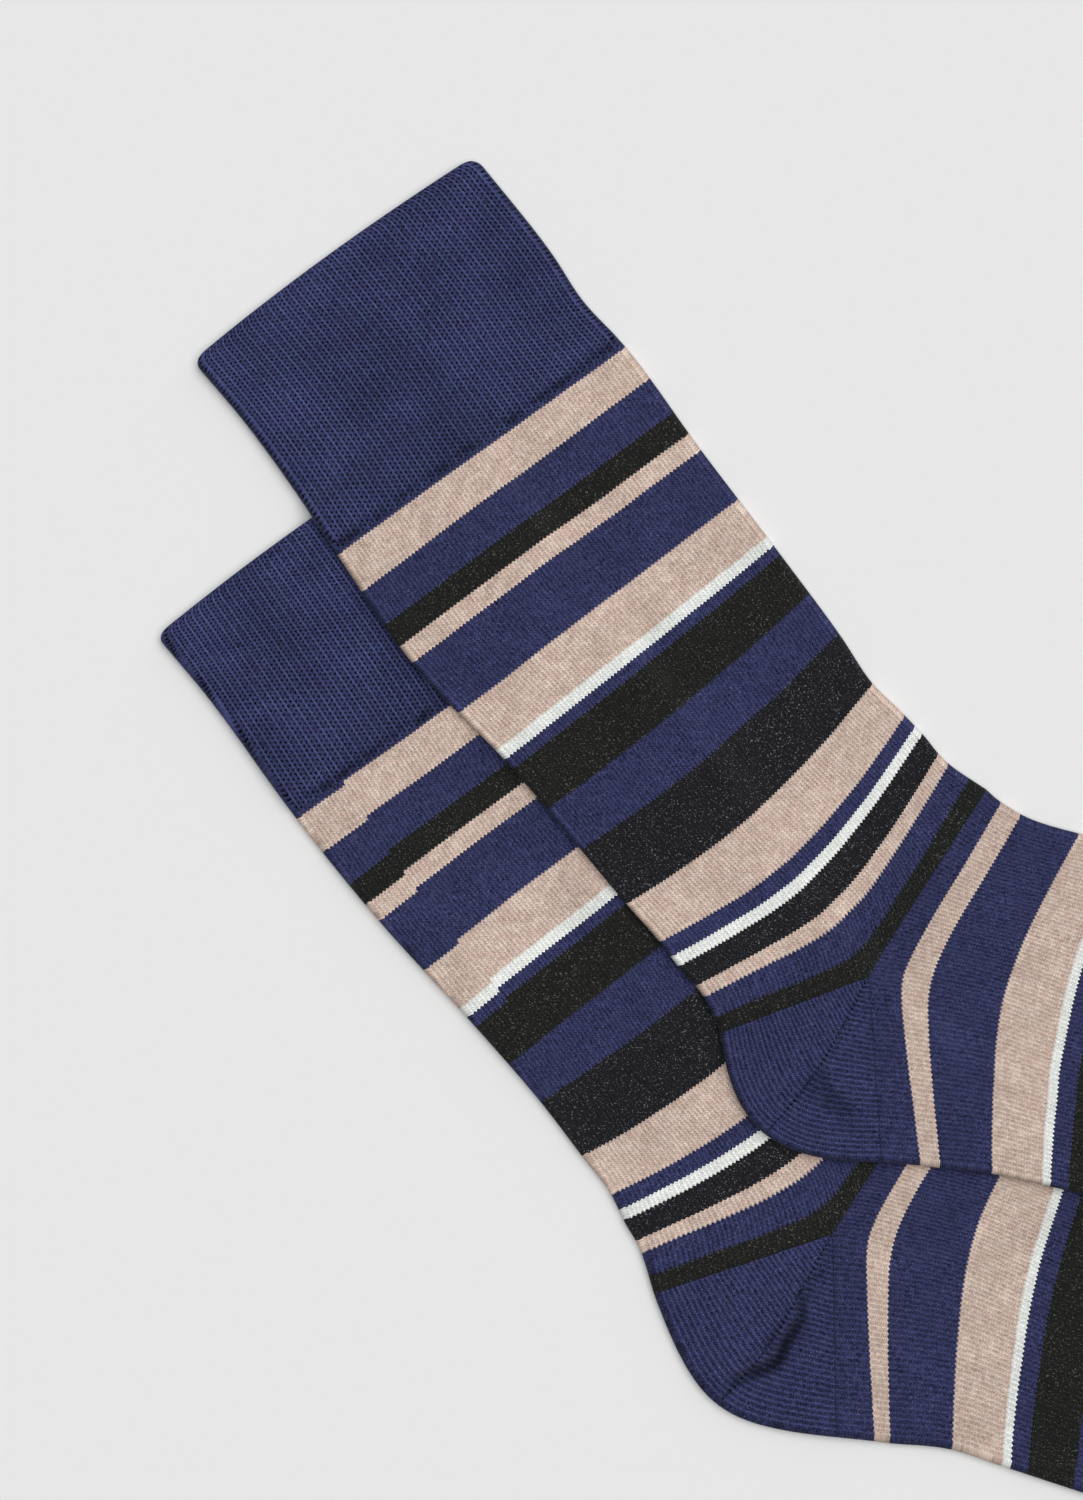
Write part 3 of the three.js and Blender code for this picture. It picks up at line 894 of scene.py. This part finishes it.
# The cuff: a thicker tube with a rounded mouth, whose two corners are arcs in plan too
cuff = {
    "rows": 90,
    "rimSteps": 4,
    "fade": 2.5,  # it gets thinner over this length, and is as thin as the leg
    "fadeEnd": 1.0,  # this far short of its end
    "groove": 0.8,  # depth of the groove, and its half width
    "grooveWidth": 0.8,
    "grooveBack": 0.9,  # the groove's middle lies this far short of the cuff's end
    "corner": 3.2,  # radius of the mouth's two corners, seen from above
}


# Its first rows lie close together, where the rim turns in, and both edges are drawn in there
def makeCuff(sock):
    radius = cloth["cuffThick"] * cloth["wallShare"] / 2
    turn = np.linspace(0, np.pi / 2, cuff["rimSteps"] + 1)
    rimRows = radius * (1 - np.cos(turn))
    down = np.concatenate([rimRows, np.linspace(radius, cuffEnd, cuff["rows"])[1:]])
    hem = quarterRound(down / radius)
    courses = coursesAt(sock["leg"], down)
    drawn = cuff["corner"] * (1 - quarterRound(down / cuff["corner"]))
    across = courses["front"] - courses["back"]
    across = across / np.linalg.norm(across, axis=1, keepdims=True) * drawn[:, None]
    courses["back"] = courses["back"] + across
    courses["front"] = courses["front"] - across
    skins = tubeSkins(sock, courses, down, thickAt(down), down - cuffEnd, hem)
    material = knitMaterial(sock["name"] + "CuffKnit", sock, [("ribNavy", cuffEnd)], kind="rib")
    return shell(sock["name"] + "Cuff", *skins, (False, True), material)


leg = {"rows": 160, "tone": 0.95}


def makeLeg(sock):
    down = np.linspace(cuffEnd, legEnd, leg["rows"])
    skins = tubeSkins(sock, coursesAt(sock["leg"], down), down, thickAt(down), down - cuffEnd)
    material = knitMaterial(sock["name"] + "LegKnit", sock, legStripes, cuffEnd, knitLook["jog"],
                            tone=leg["tone"])
    return shell(sock["name"] + "Leg", *skins, (True, True), material)


foot = {"rows": 162, "ridge": 0.55, "tone": 0.91}


def makeFoot(sock):
    down = np.linspace(0, footEnd, foot["rows"])
    courses = coursesAt(sock["foot"], down)
    skins = tubeSkins(sock, courses, down, cloth["legThick"], legEnd - cuffEnd)
    material = knitMaterial(sock["name"] + "FootKnit", sock, footStripes,
                            ridge=foot["ridge"], tone=foot["tone"])
    return shell(sock["name"] + "Foot", *skins, (True, True), material)


# The toe: both layers come together in a quarter circle where it closes
def makeToe(sock):
    down = toe["length"] * np.sin(np.linspace(0, np.pi / 2, toe["rows"]))
    close = quarterRound((toe["length"] - down) / (cloth["legThick"] / 2))
    courses = toeCourses(sock, down)
    skins = tubeSkins(sock, courses, down + footEnd, cloth["legThick"], legEnd - cuffEnd)
    for skin in skins[:2]:
        height = skin[..., 2]
        middle = (height.min(1, keepdims=True) + height.max(1, keepdims=True)) / 2
        skin[..., 2] = mix(middle, height, close[:, None])
    material = knitMaterial(sock["name"] + "ToeKnit", sock, [("navy", footEnd + toe["length"])],
                            ridge=toe["ridge"], tone=toe["tone"])
    return shell(sock["name"] + "Toe", *skins, (True, False), material)


# The heel: its sections go out along the upper layer, round the fold and back underneath. Wales
# keep their ray, so they turn in a sharp chevron on the gore line
def makeHeel(sock):
    q, tuck, rise = halfRound(heel["flatSteps"], foldAtStart=False)
    turn = np.linspace(0, 1, heel["turns"] + 1)[:, None] + np.zeros(len(q))
    gorePoint = coursesAt(sock["leg"], [legEnd])["side"][0]
    edge = onHeel(sock, np.ones(len(turn)), turn[:, 0])
    edgeLength = np.linalg.norm(edge - gorePoint, axis=1)[:, None]
    half = cloth["legThick"] / 2
    skins = []
    for inset in (0, cloth["legThick"] * cloth["wallShare"]):  # the outside, then the hollow
        radius = half - inset
        ray = q * (1 - (inset + radius * tuck) / edgeLength)
        plan = onHeel(sock, ray, turn)
        over = raised(sock, plan, rise, radius, half, "over")
        under = raised(sock, plan, rise, radius, half, "under")
        skins.append(allRound(over, under))
    wale = (1 - ray) * cloth["goreShare"] * cloth["wales"] / 2
    wale = allRound(wale, cloth["wales"] - wale) + sock["waleSlant"] * (legEnd - cuffEnd)
    offGore = np.abs(2 * turn - 1)
    length = (1 - offGore) * ray * heel["courses"] * cloth["course"]
    beside = offGore * ray * heel["goreLength"]
    along = ray * heel["goreLength"]
    maps = {
        "knit": np.stack([wale, allRound(length, length)], axis=-1),
        "gore": np.stack([allRound(beside, beside), allRound(along, along)], axis=-1),
    }
    material = knitMaterial(sock["name"] + "HeelKnit", sock, [("navy", legEnd)], kind="heel",
                            ridge=heel["ridge"], tone=heel["tone"])
    return shell(sock["name"] + "Heel", skins[0], skins[1], maps, (True, True), material)


makers = {"cuff": makeCuff, "leg": makeLeg, "heel": makeHeel, "foot": makeFoot, "toe": makeToe}
for sock in (lowerSock, upperSock):
    for part, make in makers.items():
        piece = make(sock)
        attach(piece, "root")
        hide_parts(f"{sock['name']}_sock_{part}")
print("socks knitted")

# The surface, the light and the view from straight above, in metres
floor = {"half": 3.0, "colour": (0.8, 0.8, 0.8, 1)}
light = {
    "dome": 0.06,
    "lamps": [  # name, strength, how wide it is and how it is turned, in degrees
        ("above", 2.76, 70, (-9, 8, 0)),
        ("side", 0.5, 50, (-45, 45, 0)),
    ],
}
view = {
    "middle": (-0.09767, 0.03206),
    "height": 0.36585,  # what the frame's longer side takes in, at the height of the cloth
    "cloth": 0.003,
    "lens": 100,  # and the sensor's longer side, in mm
    "sensor": 36,
    "far": 20,
}


def makeFloor():
    reach = floor["half"]
    corners = [(-reach, -reach, 0), (reach, -reach, 0), (reach, reach, 0), (-reach, reach, 0)]
    mesh = bpy.data.meshes.new("floor")
    mesh.from_pydata(corners, [], [(0, 1, 2, 3)])
    material, wire = emptyMaterial("paleSurface")
    surface = wire.node("BsdfDiffuse", {}, {"Color": floor["colour"]})
    wire.node("OutputMaterial", {}, {"Surface": surface})
    mesh.materials.append(material)
    piece = bpy.data.objects.new("floor", mesh)
    bpy.context.scene.collection.objects.link(piece)


def makeLight():
    world = bpy.data.worlds.new("dome")
    world.use_nodes = True
    background = world.node_tree.nodes["Background"]
    background.inputs["Color"].default_value = (1, 1, 1, 1)
    background.inputs["Strength"].default_value = light["dome"]
    bpy.context.scene.world = world
    for name, strength, wide, turned in light["lamps"]:
        lamp = bpy.data.lights.new(name, "SUN")
        lamp.energy = strength
        lamp.angle = np.radians(wide)
        holder = bpy.data.objects.new(name, lamp)
        holder.rotation_euler = np.radians(turned)
        bpy.context.scene.collection.objects.link(holder)


def makeCamera():
    lens = bpy.data.cameras.new("camera")
    lens.lens = view["lens"]
    lens.sensor_width = view["sensor"]
    lens.clip_end = view["far"]
    camera = bpy.data.objects.new("camera", lens)
    away = view["height"] * view["lens"] / view["sensor"]
    camera.location = (*view["middle"], away + view["cloth"])
    bpy.context.scene.collection.objects.link(camera)
    bpy.context.scene.camera = camera


makeFloor()
makeLight()
makeCamera()
bpy.context.scene.view_settings.view_transform = "Standard"
print("stage set")
